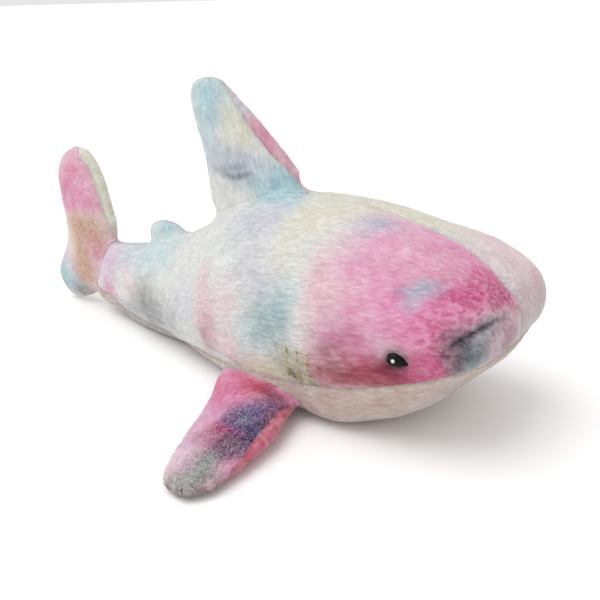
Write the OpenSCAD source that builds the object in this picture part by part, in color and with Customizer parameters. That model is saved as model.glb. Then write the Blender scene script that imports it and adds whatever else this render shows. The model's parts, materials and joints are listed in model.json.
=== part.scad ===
// Plush shark, lying on its belly. Nose towards +X, left side towards +Y, floor at Z = 0.
// The origin is on the floor, midway between nose and tail. All sizes are in millimetres.

/* [Fabric] */
// Thickness of the plush fabric with its pile pressed flat
fabric = 4; // [3:0.5:4.5]
// Gap left at every sewn seam, between the edges of two panels
seam_gap = 0.4; // [0.3:0.1:0.6]
// Space between the fabric and the stuffing
lining_gap = 1.2; // [1:0.1:2]
// Thickness of a panel where two panels are sewn edge to edge
seam_edge = 1.5; // [1:0.1:2]

/* [Tail] */
// Largest swing of the tail to each side, in degrees
tail_swing = 22; // [10:1:25]
// Room left between the trunk and the tail when the tail is straight, on the line that it turns on
tail_gap = 1.4; // [1:0.1:2]

/* [Fins] */
// Half thickness of the dorsal fin at its root
dorsal_r = 17; // [15:1:18]
// Half thickness of the rear dorsal fin at its root
rear_dorsal_r = 11; // [11:1:12]
// Half thickness of the pectoral fins at their root
pectoral_r = 16; // [15:1:17]
// Half thickness of the tail fin at its root
tail_fin_r = 15; // [14:1:16]
// Clearance between the tail fin and the tail it is sewn to
fin_gap = 2; // [1.5:0.1:3]

/* [Eyes] */
// Length of the almond-shaped plastic eye
eye_length = 27; // [24:1:29]
// Height of the eye
eye_height = 16; // [14:1:18]
// Radius of the eye's stem
stem_r = 2.5; // [2:0.1:3]
// Radius of the washer that locks the stem inside
washer_r = 9; // [7:0.5:10]

/* [Hidden] */

// The body from tail root to nose. Each station is
// [x, half width, back height, height of the widest level, belly height, seam angle].
// The seam angle is where a side panel meets the belly panel: 90 is the widest level, 180 the belly line.
BODY = [
    [-320, 12, 102, 64, 28, 112],
    [-250, 25, 116, 64, 11, 111],
    [-190, 39, 126, 62, 1, 110],
    [-120, 57, 141, 62, -3, 108],
    [-45, 77, 178, 64, -6, 105],
    [30, 96, 212, 64, -7, 102],
    [110, 110, 241, 64, -7, 99],
    [190, 118, 243, 66, -7, 95],
    [260, 119, 234, 80, 0, 93],
    [320, 114, 217, 102, 36, 95],
    [360, 107, 195, 118, 74, 103],
    [384, 92, 172, 128, 98, 116],
    [396, 62, 157, 132, 111, 135],
    [400, 0, 148, 133, 116, 160]
];
NOSE_X = 400;
// How boxy a cross-section is above and below its widest level: 1 is an ellipse, less is squarer.
BACK_POWER = 0.77;
BELLY_POWER = 0.7;
TRUNK_ROWS = 20;
TAIL_ROWS = 9;
SIDE_STEPS = 12;
BELLY_STEPS = 8;
STUFFING_STEPS = 36;
HALVINGS = 16;
// Half width below which the seam gap is no longer opened further, near the tip of the nose
NARROW = 8;
// Height of the point that closes each end of the stuffing
END_MIDDLE = 80;

// The tail turns about an upright line at TAIL_X. Its front end is a blunt wedge, to leave room for
// the swing, with a few degrees to spare. ROOT_X is about where the tail ends.
TAIL_X = -45;
SPARE_ANGLE = 4;
ROOT_X = -268;

// The tail fin turns about a slanted line through these two points, [x, z].
TAIL_FIN_LOW = [-305, 41];
TAIL_FIN_HIGH = [-253, 141];
TAIL_FIN_SLANT = (TAIL_FIN_HIGH[0] - TAIL_FIN_LOW[0]) / (TAIL_FIN_HIGH[1] - TAIL_FIN_LOW[1]);

// Fins are made of ribs, [front x, front z, rear x, rear z, half thickness].
// The pectoral fin lies flat, so its ribs hold distances out from its root line in place of z.
DORSAL_ROOT = [112, 265.5, -36, 207];
DORSAL_RIBS = [
    [94, 284, -36, 232, 16],
    [62, 314, -45, 280, 14],
    [28, 346, -57, 326, 12],
    [6, 367, -62, 355, 9],
    [-12, 378, -56, 373, 6]
];
REAR_DORSAL_ROOT = [-94, 167, -164, 143];
REAR_DORSAL_RIBS = [
    [-110, 172, -165, 155, 9],
    [-123, 175, -162, 163, 7],
    [-133, 175, -153, 169, 4]
];
TAIL_FIN_RIBS = [
    [-374, 3, -400, 30, 4],
    [-350, 3, -398, 52, 9],
    [-318, 14, -380, 78, 12],
    [-292, 34, -360, 104, 14],
    [-266, 84, -356, 140, 15],
    [-240, 134, -360, 178, 14],
    [-245, 178, -362, 212, 12],
    [-258, 226, -350, 241, 10],
    [-274, 252, -330, 257, 7],
    [-294, 263, -312, 265, 4]
];
PECTORAL_Y = 129;
PECTORAL_TAPER = 0.12;
PECTORAL_Z = 21;
PECTORAL_DROOP = 3.5;
PECTORAL_ROOT = [182, 0, 54, 0];
PECTORAL_RIBS = [
    [193, 44, 82, 44, 14],
    [198, 88, 98, 88, 12],
    [196, 134, 114, 134, 10],
    [187, 167, 127, 167, 7],
    [172, 181, 143, 181, 4]
];
ROOT_ROWS = 4;
RIB_STEPS = 2;
CHORD_STEPS = 10;
LENS_POWER = 0.6;
STUFFED_FROM = 0.2;

// The eyes and the gill stitches lie on the body, at an X and at an angle round its cross-section.
EYE_X = 311;
EYE_ANGLE = 85;
// Tilt of the eye's long axis; below 0, the front corner is the lower one
EYE_ROLL = -8;
EYE_BULGE = 6;
EYE_LIFT = 0.6;
STEM_LENGTH = 20;
// The washer's pocket in the stuffing: its room round the washer, and how far it runs past each end
POCKET_ROOM = 1;
POCKET_PAST_STEM = 2;
POCKET_PAST_FABRIC = 10;
WASHER_DEPTH = 5.2;
WASHER_THICKNESS = 2;
FIT = 0.15;
GILLS = 3;
GILL_X = 172;
GILL_STEP = 15;
GILL_WIDTH = 4;
GILL_FROM = 84;
GILL_TO = 97;
GILL_RISE = 1.6;
STITCH_GAP = 0.3;
STITCH_STEPS = 6;

// ---- helpers ----
function mix(a, b, u) = a + (b - a) * u;

// A smooth curve through the stations p, with t running from 0 to len(p) - 1.
function spline(p, t) =
    let (
        n = len(p) - 1,
        i = min(floor(t), n - 1),
        u = t - i,
        a = p[max(i - 1, 0)],
        b = p[i],
        c = p[i + 1],
        d = p[min(i + 2, n)]
    )
    0.5 * (2 * b + (c - a) * u + (2 * a - 5 * b + 4 * c - d) * u * u + (3 * b - a - 3 * c + d) * u * u * u);

// The t at which the body's stations reach x, found by halving.
function station_at(x, low, high, turns) =
    let (middle = (low + high) / 2)
    turns == 0 ? middle
        : spline(BODY, middle)[0] < x ? station_at(x, middle, high, turns - 1)
        : station_at(x, low, middle, turns - 1);
function body_t(x) = station_at(x, 0, len(BODY) - 1, HALVINGS);

// [y, z] on the right side of a cross-section, inset from its outer surface.
// Angle 0 is the back and 180 the belly.
function section_point(s, a, inset) =
    let (
        width = max(s[1] - inset, 0),
        power = a < 90 ? BACK_POWER : BELLY_POWER,
        reach = a < 90 ? max(s[2] - s[3] - inset, 1) : max(s[3] - s[4] - inset, 1)
    )
    [
        -width * pow(max(sin(a), 0), power),
        max(s[3] + sign(cos(a)) * reach * pow(abs(cos(a)), power), inset)
    ];

// A solid between two grids of points, which share their shape: skins, stitches and fin panels.
module shell(outer, inner) {
    rows = len(outer);
    cols = len(outer[0]);
    size = rows * cols;
    function quad(a, b, c, d) = [[a, b, c], [a, c, d]];
    faces = [
        for (i = [0:rows - 2])
            for (j = [0:cols - 2])
                let (k = i * cols + j)
                each concat(
                    quad(k, k + 1, k + cols + 1, k + cols),
                    quad(size + k, size + k + cols, size + k + cols + 1, size + k + 1)
                ),
        for (i = [0:rows - 2])
            let (k = i * cols, m = i * cols + cols - 1)
            each concat(
                quad(k, k + cols, size + k + cols, size + k),
                quad(m, size + m, size + m + cols, m + cols)
            ),
        for (j = [0:cols - 2])
            let (k = j, m = (rows - 1) * cols + j)
            each concat(
                quad(k, size + k, size + k + 1, k + 1),
                quad(m, m + 1, size + m + 1, size + m)
            )
    ];
    polyhedron(points = [for (g = [outer, inner]) for (row = g) each row], faces = faces, convexity = 6);
}

// A solid lofted through closed rings, with a point closing each end.
module loft(first, rings, last) {
    n = len(rings);
    m = len(rings[0]);
    faces = [
        for (i = [0:n - 2])
            for (j = [0:m - 1])
                let (k = i * m + j, l = i * m + (j + 1) % m)
                each [[k, l, l + m], [k, l + m, k + m]],
        for (j = [0:m - 1]) [(j + 1) % m, j, n * m],
        for (j = [0:m - 1]) [(n - 1) * m + j, (n - 1) * m + (j + 1) % m, n * m + 1]
    ];
    polyhedron(points = concat([for (ring = rings) each ring], [first, last]), faces = faces, convexity = 6);
}

// ---- body ----
// The tail's front end at a distance from the mid-plane: two faces that slant back from the middle.
function tail_end(y) = TAIL_X - tail_gap - abs(y) * tan(tail_swing + SPARE_ANGLE);

// The tail's rear end: a slanted face just ahead of the tail fin's root.
function tail_root(z) =
    TAIL_FIN_LOW[0] + (z - TAIL_FIN_LOW[1]) * TAIL_FIN_SLANT
    + (tail_fin_r + fin_gap) * sqrt(1 + pow(TAIL_FIN_SLANT, 2));

// A point of the trunk, in row i of rows from its flat rear end.
function trunk_point(i, rows, a, inset) =
    let (
        s = spline(BODY, mix(body_t(TAIL_X), len(BODY) - 1, i / rows)),
        yz = section_point(s, a, inset)
    )
    [s[0] > 0 ? s[0] * (1 - inset / NOSE_X) : s[0], yz[0], yz[1]];

// A point of the tail, in row i of rows from its slanted root to its front end.
function tail_point(i, rows, a, inset) =
    let (
        u = i / rows,
        rough = section_point(spline(BODY, body_t(mix(ROOT_X, TAIL_X, u))), a, inset),
        near = section_point(spline(BODY, body_t(mix(tail_root(rough[1]), tail_end(rough[0]), u))), a, inset),
        x = mix(tail_root(near[1]), tail_end(near[0]), u),
        yz = section_point(spline(BODY, body_t(x)), a, inset)
    )
    [mix(tail_root(yz[1]), tail_end(yz[0]), u), yz[0], yz[1]];

function seam_angle(x) = spline(BODY, body_t(x))[5];
function aside(p, distance) = [p[0], p[1] - distance, p[2]];

// Grids of a side panel and a belly panel. part is 0 for the trunk and 1 for the tail.
function body_point(part, i, a, inset) =
    part == 0 ? trunk_point(i, TRUNK_ROWS, a, inset) : tail_point(i, TAIL_ROWS, a, inset);
function body_rows(part) = part == 0 ? TRUNK_ROWS : TAIL_ROWS;
function row_seam(part, i) = seam_angle(body_point(part, i, 90, 0)[0]);
function side_grid(part, inset) = [
    for (i = [0:body_rows(part)])
        let (seam = row_seam(part, i))
        [for (j = [SIDE_STEPS:-1:0]) aside(body_point(part, i, seam * j / SIDE_STEPS, inset), seam_gap / 2)]
];
function mirrored(p) = [p[0], -p[1], p[2]];
function belly_grid(part, inset) = [
    for (i = [0:body_rows(part) - (part == 0 ? 1 : 0)])
        let (
            width = max(-body_point(part, i, 90, inset)[1], NARROW),
            seam = row_seam(part, i) + seam_gap / width * 180 / PI
        )
        [
            for (j = [BELLY_STEPS:-1:-BELLY_STEPS])
                let (p = body_point(part, i, mix(180, seam, abs(j) / BELLY_STEPS), inset))
                j < 0 ? p : mirrored(p)
        ]
];
function ring(part, i, inset) = [
    for (j = [0:STUFFING_STEPS - 1])
        let (a = 360 * (1 - (j + 1) / STUFFING_STEPS))
        a <= 180 ? body_point(part, i, a, inset) : mirrored(body_point(part, i, 360 - a, inset))
];

// Half-size ring on the tail's front end, so that the end keeps its two slanted faces.
function tail_end_ring(inset) = [
    for (p = ring(1, TAIL_ROWS, inset)) [tail_end(p[1] / 2), p[1] / 2, mix(END_MIDDLE, p[2], 0.5)]
];

module side_skin(part) {
    shell(side_grid(part, 0), side_grid(part, fabric));
}
module belly_skin(part) {
    shell(belly_grid(part, 0), belly_grid(part, fabric));
}
module trunk_filling(inset) {
    loft(
        [TAIL_X, 0, END_MIDDLE],
        [for (i = [0:TRUNK_ROWS - 1]) ring(0, i, inset)],
        [NOSE_X - inset - 1, 0, BODY[len(BODY) - 1][3]]
    );
}
module tail_filling(inset) {
    loft(
        [tail_root(END_MIDDLE), 0, END_MIDDLE],
        concat([for (i = [0:TAIL_ROWS]) ring(1, i, inset)], [tail_end_ring(inset)]),
        [tail_end(0), 0, END_MIDDLE]
    );
}

// A point on the body, lifted off it, and the direction that it faces.
function body_surface(x, a, lift) =
    let (yz = section_point(spline(BODY, body_t(x)), a, -lift))
    [x, yz[0], yz[1]];
function facing(x, a) =
    let (
        forward = body_surface(x + 1, a, 0) - body_surface(x - 1, a, 0),
        upward = body_surface(x, a - 1, 0) - body_surface(x, a + 1, 0),
        n = cross(forward, upward)
    )
    n / norm(n);

module at_eye() {
    n = facing(EYE_X, EYE_ANGLE);
    translate(body_surface(EYE_X, EYE_ANGLE, 0))
        rotate([0, acos(n[2]), atan2(n[1], n[0])])
            rotate([0, 0, EYE_ROLL])
                children();
}
module left_side() {
    mirror([0, 1, 0]) children();
}

// ---- trunk ----
module right_trunk_panel() {
    color("pink")
        difference() {
            side_skin(0);
            at_eye()
                translate([0, 0, -STEM_LENGTH])
                    cylinder(r = stem_r + FIT, h = 2 * STEM_LENGTH, $fn = 32);
        }
}
module left_trunk_panel() {
    left_side() right_trunk_panel();
}
module belly_panel() {
    color("white") belly_skin(0);
}
module trunk_stuffing() {
    color("ivory")
        difference() {
            trunk_filling(fabric + lining_gap);
            at_eye() eye_pocket();
            left_side() at_eye() eye_pocket();
        }
}

// ---- eyes ----
module eye_pocket() {
    translate([0, 0, -STEM_LENGTH - POCKET_PAST_STEM])
        cylinder(
            r = washer_r + POCKET_ROOM,
            h = POCKET_PAST_STEM + STEM_LENGTH + POCKET_PAST_FABRIC,
            $fn = 32
        );
}
module eye_side(shift, r) {
    translate([shift, 0, EYE_LIFT]) cylinder(r = r, h = EYE_BULGE + 1, $fn = 64);
}
module right_eye() {
    side_r = (pow(eye_length / 2, 2) + pow(eye_height / 2, 2)) / eye_height;
    dome_r = (pow(eye_length / 2, 2) + pow(EYE_BULGE, 2)) / (2 * EYE_BULGE);
    color("black")
        at_eye() {
            intersection() {
                translate([0, 0, EYE_LIFT + EYE_BULGE - dome_r]) sphere(r = dome_r, $fn = 64);
                eye_side(side_r - eye_height / 2, side_r);
                eye_side(eye_height / 2 - side_r, side_r);
            }
            translate([0, 0, -STEM_LENGTH]) cylinder(r = stem_r, h = STEM_LENGTH + EYE_LIFT + 1, $fn = 32);
        }
}
module left_eye() {
    left_side() right_eye();
}
module right_eye_washer() {
    color("lightgray")
        at_eye()
            translate([0, 0, -WASHER_DEPTH - WASHER_THICKNESS])
                difference() {
                    cylinder(r = washer_r, h = WASHER_THICKNESS, $fn = 48);
                    translate([0, 0, -1]) cylinder(r = stem_r + FIT, h = WASHER_THICKNESS + 2, $fn = 32);
                }
}
module left_eye_washer() {
    left_side() right_eye_washer();
}

// ---- gills ----
function stitch_grid(x, lift) = [
    for (side = [1, -1])
        [
            for (i = [0:STITCH_STEPS])
                body_surface(x + side * GILL_WIDTH / 2, mix(GILL_FROM, GILL_TO, i / STITCH_STEPS), lift)
        ]
];
module right_gill_stitches() {
    color("olive")
        for (i = [0:GILLS - 1])
            let (x = GILL_X + i * GILL_STEP)
            shell(stitch_grid(x, GILL_RISE), stitch_grid(x, STITCH_GAP));
}
module left_gill_stitches() {
    left_side() right_gill_stitches();
}

// ---- tail ----
module right_tail_panel() {
    color("lightblue") side_skin(1);
}
module left_tail_panel() {
    left_side() right_tail_panel();
}
module tail_belly_panel() {
    color("white") belly_skin(1);
}
module tail_stuffing() {
    color("ivory") tail_filling(fabric + lining_gap);
}

// ---- fins ----
// A rib moved away from the fin, by a distance at right angles to the root.
function moved(root, distance) =
    let (
        along = [root[0] - root[2], root[1] - root[3]],
        out = [-along[1], along[0]] / norm(along)
    )
    [for (i = [0:3]) root[i] + out[i % 2] * distance];

// All ribs of a fin: a half-round root of radius r, then a smooth run through the rest.
function fin_rows(root, ribs, r) =
    let (stations = concat([concat(root, [r])], ribs))
    concat(
        [
            for (i = [0:ROOT_ROWS - 1])
                let (a = 90 * i / ROOT_ROWS)
                concat(moved(root, -r * cos(a)), [r * sin(a)])
        ],
        smooth_rows(stations)
    );
function smooth_rows(stations) = [
    for (i = [0:(len(stations) - 1) * RIB_STEPS]) spline(stations, i / RIB_STEPS)
];

// Half thickness of a fin on a rib, at a share of the way from its front edge to its rear edge.
function lens(row, share) =
    seam_gap / 2 + seam_edge + max(row[4] - seam_edge - seam_gap / 2, 0) * pow(sin(180 * share), LENS_POWER);
function chord(j) = (1 - cos(180 * j / CHORD_STEPS)) / 2;

// How far the pectoral fin's root line lies from the mid-plane.
function pectoral_y(x) = PECTORAL_Y - (PECTORAL_ROOT[0] - x) * PECTORAL_TAPER;

// A point of a fin: upright fins lie in the mid-plane, the pectoral fin slopes down from its root.
function fin_point(flat, row, share, n) =
    let (x = mix(row[0], row[2], share), out = mix(row[1], row[3], share))
    flat
        ? [
            x,
            -pectoral_y(x) - out * cos(PECTORAL_DROOP) + n * sin(PECTORAL_DROOP),
            PECTORAL_Z - out * sin(PECTORAL_DROOP) - n * cos(PECTORAL_DROOP)
        ]
        : [x, -n, out];
function fin_grid(flat, rows, side, depth) = [
    for (row = rows)
        [
            for (j = [0:CHORD_STEPS])
                fin_point(flat, row, chord(j), side * max(lens(row, chord(j)) - depth, seam_gap / 2))
        ]
];
function stuffed_share(j) = mix(STUFFED_FROM, 1 - STUFFED_FROM, chord(j));
function fin_ring(flat, row) = [
    for (side = [1, -1])
        for (k = [0:CHORD_STEPS])
            let (share = stuffed_share(side > 0 ? k : CHORD_STEPS - k))
            fin_point(flat, row, share, side * max(lens(row, share) - fabric - lining_gap, 0.5))
];

// side is 1 for the right or lower panel and -1 for the left or upper panel.
module fin_skin(flat, rows, side) {
    if (side > 0) shell(fin_grid(flat, rows, 1, 0), fin_grid(flat, rows, 1, fabric));
    else shell(fin_grid(flat, rows, -1, fabric), fin_grid(flat, rows, -1, 0));
}
module fin_stuffing(flat, rows) {
    thick = [for (row = rows) if (row[4] > 2 * fabric) row];
    loft(
        fin_point(flat, thick[0], 0.5, 0),
        [for (row = thick) fin_ring(flat, row)],
        fin_point(flat, thick[len(thick) - 1], 0.5, 0)
    );
}

dorsal_rows = fin_rows(DORSAL_ROOT, DORSAL_RIBS, dorsal_r);
rear_dorsal_rows = fin_rows(REAR_DORSAL_ROOT, REAR_DORSAL_RIBS, rear_dorsal_r);
pectoral_rows = fin_rows(PECTORAL_ROOT, PECTORAL_RIBS, pectoral_r);
tail_fin_rows = smooth_rows(TAIL_FIN_RIBS);

module right_dorsal_panel() {
    color("powderblue") fin_skin(false, dorsal_rows, 1);
}
module left_dorsal_panel() {
    color("hotpink") fin_skin(false, dorsal_rows, -1);
}
module dorsal_stuffing() {
    color("ivory") fin_stuffing(false, dorsal_rows);
}
module right_rear_dorsal_panel() {
    color("paleturquoise") fin_skin(false, rear_dorsal_rows, 1);
}
module left_rear_dorsal_panel() {
    color("paleturquoise") fin_skin(false, rear_dorsal_rows, -1);
}
module rear_dorsal_stuffing() {
    color("ivory") fin_stuffing(false, rear_dorsal_rows);
}
module right_tail_fin_panel() {
    color("orchid") fin_skin(false, tail_fin_rows, 1);
}
module left_tail_fin_panel() {
    color("cornsilk") fin_skin(false, tail_fin_rows, -1);
}
module tail_fin_stuffing() {
    color("ivory") fin_stuffing(false, tail_fin_rows);
}
module right_pectoral_upper_panel() {
    color("mediumvioletred") fin_skin(true, pectoral_rows, -1);
}
module right_pectoral_lower_panel() {
    color("lightpink") fin_skin(true, pectoral_rows, 1);
}
module right_pectoral_stuffing() {
    color("ivory") fin_stuffing(true, pectoral_rows);
}
module left_pectoral_upper_panel() {
    left_side() right_pectoral_upper_panel();
}
module left_pectoral_lower_panel() {
    left_side() right_pectoral_lower_panel();
}
module left_pectoral_stuffing() {
    left_side() right_pectoral_stuffing();
}

right_trunk_panel();
left_trunk_panel();
belly_panel();
trunk_stuffing();
right_eye();
left_eye();
right_eye_washer();
left_eye_washer();
right_gill_stitches();
left_gill_stitches();
right_tail_panel();
left_tail_panel();
tail_belly_panel();
tail_stuffing();
right_dorsal_panel();
left_dorsal_panel();
dorsal_stuffing();
right_rear_dorsal_panel();
left_rear_dorsal_panel();
rear_dorsal_stuffing();
right_tail_fin_panel();
left_tail_fin_panel();
tail_fin_stuffing();
right_pectoral_upper_panel();
right_pectoral_lower_panel();
right_pectoral_stuffing();
left_pectoral_upper_panel();
left_pectoral_lower_panel();
left_pectoral_stuffing();
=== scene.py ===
"""Looks of the plush shark: its sewn, dyed skin, filling, eyes and gill stitches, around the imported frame."""

import itertools
import json
import math

import bmesh
import bpy
import numpy as np
from mathutils import Euler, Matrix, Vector
from mathutils.bvhtree import BVHTree

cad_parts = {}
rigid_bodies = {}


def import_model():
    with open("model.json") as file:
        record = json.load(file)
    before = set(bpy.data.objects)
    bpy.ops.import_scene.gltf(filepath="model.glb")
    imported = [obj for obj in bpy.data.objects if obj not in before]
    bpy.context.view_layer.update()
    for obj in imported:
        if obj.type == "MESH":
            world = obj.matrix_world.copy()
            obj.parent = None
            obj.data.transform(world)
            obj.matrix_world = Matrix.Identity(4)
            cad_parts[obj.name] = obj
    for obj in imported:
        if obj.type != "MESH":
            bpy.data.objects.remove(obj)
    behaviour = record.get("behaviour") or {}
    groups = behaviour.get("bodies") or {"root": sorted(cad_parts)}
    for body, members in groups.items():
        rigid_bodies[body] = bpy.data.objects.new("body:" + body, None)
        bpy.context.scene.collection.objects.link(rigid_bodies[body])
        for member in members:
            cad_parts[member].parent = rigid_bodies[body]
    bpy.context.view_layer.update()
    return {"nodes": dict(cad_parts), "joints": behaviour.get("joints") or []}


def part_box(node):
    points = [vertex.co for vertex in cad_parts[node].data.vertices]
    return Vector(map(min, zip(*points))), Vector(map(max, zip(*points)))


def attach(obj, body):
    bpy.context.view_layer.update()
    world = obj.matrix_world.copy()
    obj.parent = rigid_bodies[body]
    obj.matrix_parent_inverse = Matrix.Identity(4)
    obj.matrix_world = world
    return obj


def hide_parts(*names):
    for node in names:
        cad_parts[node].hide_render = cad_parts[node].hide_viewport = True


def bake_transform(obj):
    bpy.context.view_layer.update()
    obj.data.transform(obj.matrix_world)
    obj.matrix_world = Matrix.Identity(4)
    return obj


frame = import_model()
nodes = frame["nodes"]
scene = bpy.context.scene
norm = np.linalg.norm

# Sizes in metres: the skin's voxels, the furthest that a cloth point swells, the hem turned in at each seam,
# and how far a far panel is wrapped round a fin's leading edge.
VOXEL, PUFF_CAP, HEM, WRAP = 0.0055, 0.005, 0.006, 0.010
FINE_LEVELS = 2
# The tube that closes the room between trunk and tail: its ends, its axis height and its rings.
FRONT, BACK, STEP, AXIS_HEIGHT = -0.040, -0.098, 0.02, 0.07
BRIDGE_RINGS, BRIDGE_SIDES = 14, 96
# Further than the skin from any point on the body's axis, as a start for rays.
FAR = 0.4
# How far from a fin's root the skin is rounded into the back, and how many times it is smoothed there.
FILLETS = ((("right_dorsal", "left_dorsal"), 0.030), (("right_rear_dorsal", "left_rear_dorsal"), 0.014))
FILLET_ROUNDS = 34


# Noise, seeded by plain whole numbers so that every run gives the same result.
def lattice(i, seed):
    h = i[:, 0] * 374761393 + i[:, 1] * 668265263 + i[:, 2] * 1274126177 + seed * 974711
    h = (h ^ (h >> 13)) & 0xFFFFFFFF
    h = (h * 1103515245 + 12345) & 0xFFFFFFFF
    h = (h ^ (h >> 16)) & 0xFFFFFFFF
    return (h & 0xFFFFFF) / float(0xFFFFFF)


def noise(p, size, seed):
    """Smooth noise from -1 to 1 with bumps of about that size."""
    q = p / size
    i = np.floor(q).astype(np.int64)
    f = q - i
    f = f * f * (3 - 2 * f)
    total = np.zeros(len(p))
    for corner in itertools.product((0, 1), repeat=3):
        w = [f[:, k] if corner[k] else 1 - f[:, k] for k in range(3)]
        total += w[0] * w[1] * w[2] * lattice(i + np.array(corner), seed)
    return total * 2 - 1


def noise3(p, size, seed):
    return np.stack([noise(p, size, seed + k) for k in range(3)], 1)


def cells(p, size, seed):
    """Distance to the nearest of a jittered set of points, in cell sizes."""
    q = p / size
    i = np.floor(q).astype(np.int64)
    best = np.full(len(p), 9.0)
    for step in itertools.product((-1, 0, 1), repeat=3):
        c = i + np.array(step)
        jitter = np.stack([lattice(c, seed + k) for k in range(3)], 1)
        best = np.minimum(best, ((c + jitter - q) ** 2).sum(1))
    return np.sqrt(best)


def smooth(t):
    t = np.clip(t, 0, 1)
    return t * t * (3 - 2 * t)


def bell(x, width):
    return np.exp(-((x / width) ** 2))


# Mesh helpers.
def field_of(data, name, width=1, kind=np.float32):
    """A field of a mesh's vertices, edges or loops as an array, with a column for each number in it."""
    values = np.empty(len(data) * width, kind)
    data.foreach_get(name, values)
    return values.reshape(-1, width) if width > 1 else values


def coords(mesh):
    return field_of(mesh.vertices, "co", 3).astype(float)


def set_coords(mesh, co):
    mesh.vertices.foreach_set("co", co.astype(np.float32).ravel())
    mesh.update()


def normals(mesh):
    return field_of(mesh.vertex_normals, "vector", 3).astype(float)


def linked(name, data):
    ob = bpy.data.objects.new(name, data)
    scene.collection.objects.link(ob)
    return ob


def new_object(name, vertices, faces):
    mesh = bpy.data.meshes.new(name)
    mesh.from_pydata([tuple(v) for v in vertices], [], [tuple(f) for f in faces])
    mesh.update()
    return linked(name, mesh)


def cad_mesh(name):
    mesh = nodes[name].data
    return [v.co.copy() for v in mesh.vertices], [tuple(f.vertices) for f in mesh.polygons]


def merged(parts):
    """Vertices and faces of several meshes together."""
    vertices, faces = [], []
    for more, more_faces in parts:
        start = len(vertices)
        vertices += more
        faces += [[start + i for i in f] for f in more_faces]
    return vertices, faces


def ring_faces(first, rings, sides):
    """Faces between rings of points that follow one another from that index on."""
    faces = []
    for a in range(first, first + (rings - 1) * sides, sides):
        for j in range(sides):
            i = (j + 1) % sides
            faces.append((a + j, a + sides + j, a + sides + i, a + i))
    return faces


def tree_of(names):
    return BVHTree.FromPolygons(*merged(map(cad_mesh, names)))


def evaluated(ob):
    """Gives ob the mesh that its modifiers make, and clears them."""
    dg = bpy.context.evaluated_depsgraph_get()
    mesh = bpy.data.meshes.new_from_object(ob.evaluated_get(dg))
    ob.modifiers.clear()
    old = ob.data
    ob.data = mesh
    bpy.data.meshes.remove(old)
    return ob


def largest_part(ob):
    """Keeps only the outer skin, without the small pockets left inside it."""
    bm = bmesh.new()
    bm.from_mesh(ob.data)
    left, parts = set(bm.verts), []
    while left:
        seed = left.pop()
        part, front = [seed], [seed]
        while front:
            v = front.pop()
            for e in v.link_edges:
                o = e.other_vert(v)
                if o in left:
                    left.remove(o)
                    part.append(o)
                    front.append(o)
        parts.append(part)
    parts.sort(key=len)
    for part in parts[:-1]:
        bmesh.ops.delete(bm, geom=part, context="VERTS")
    bm.to_mesh(ob.data)
    bm.free()


def neighbour_mean(mesh, co, rounds, amount):
    """Laplacian smoothing of co over mesh's edges."""
    a, b = field_of(mesh.edges, "vertices", 2, np.int32).T
    count = np.bincount(a, minlength=len(co)) + np.bincount(b, minlength=len(co))
    for _ in range(rounds):
        total = [np.bincount(a, co[b, k], len(co)) + np.bincount(b, co[a, k], len(co)) for k in range(3)]
        co = co + (np.stack(total, 1) / count[:, None] - co) * amount
    return co


# Bends. Each is two bodies and two points.
JOINTS = {j["name"]: j for j in frame["joints"]}


def hinge(name, outward, start, end):
    """A bend whose points are at those distances out from a joint's line."""
    joint = JOINTS[name]
    at, axis = Vector(joint["pos_m"]), Vector(joint["axis"])
    way = (Vector(outward) - axis * axis.dot(Vector(outward))).normalized()
    return joint["parent"], joint["child"], at + way * start, at + way * end


TAIL = ("trunk", "tail_stock", Vector((-0.020, 0, 0.1)), Vector((-0.085, 0, 0.1)))
DORSAL = hinge("dorsal_fin_lean", (0, 0, 1), -0.004, 0.045)
REAR_DORSAL = hinge("rear_dorsal_fin_lean", (0, 0, 1), -0.004, 0.018)
TAIL_FIN = hinge("tail_fin_sway", (-1, 0, 0), 0.0, 0.040)
RIGHT_PECTORAL = hinge("right_pectoral_flap", (0, -1, 0), 0.004, 0.045)
LEFT_PECTORAL = hinge("left_pectoral_flap", (0, 1, 0), 0.004, 0.045)

# The sewn panels of the skin. Name: [CAD nodes, cut of cloth, bend, slot].
SKIN = {
    "right_side": [["right_trunk_panel", "right_tail_panel"], "right", TAIL, "dyed_plush"],
    "left_side": [["left_trunk_panel", "left_tail_panel"], "left", TAIL, "dyed_plush"],
    "belly": [["belly_panel", "tail_belly_panel"], "belly", TAIL, "white_plush"],
}
FINS = {
    "right_dorsal": ("right", DORSAL),
    "left_dorsal": ("left", DORSAL),
    "right_rear_dorsal": ("right", REAR_DORSAL),
    "left_rear_dorsal": ("left", REAR_DORSAL),
    "right_tail_fin": ("tail_right", TAIL_FIN),
    "left_tail_fin": ("tail_left", TAIL_FIN),
    "right_pectoral_upper": ("right_upper", RIGHT_PECTORAL),
    "right_pectoral_lower": ("right_lower", RIGHT_PECTORAL),
    "left_pectoral_upper": ("left_upper", LEFT_PECTORAL),
    "left_pectoral_lower": ("left_lower", LEFT_PECTORAL),
}
SKIN.update({name: [[name + "_panel"], cut, bend, "dyed_plush"] for name, (cut, bend) in FINS.items()})
NAMES = list(SKIN)
CUTS = sorted(set(row[1] for row in SKIN.values()))


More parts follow.
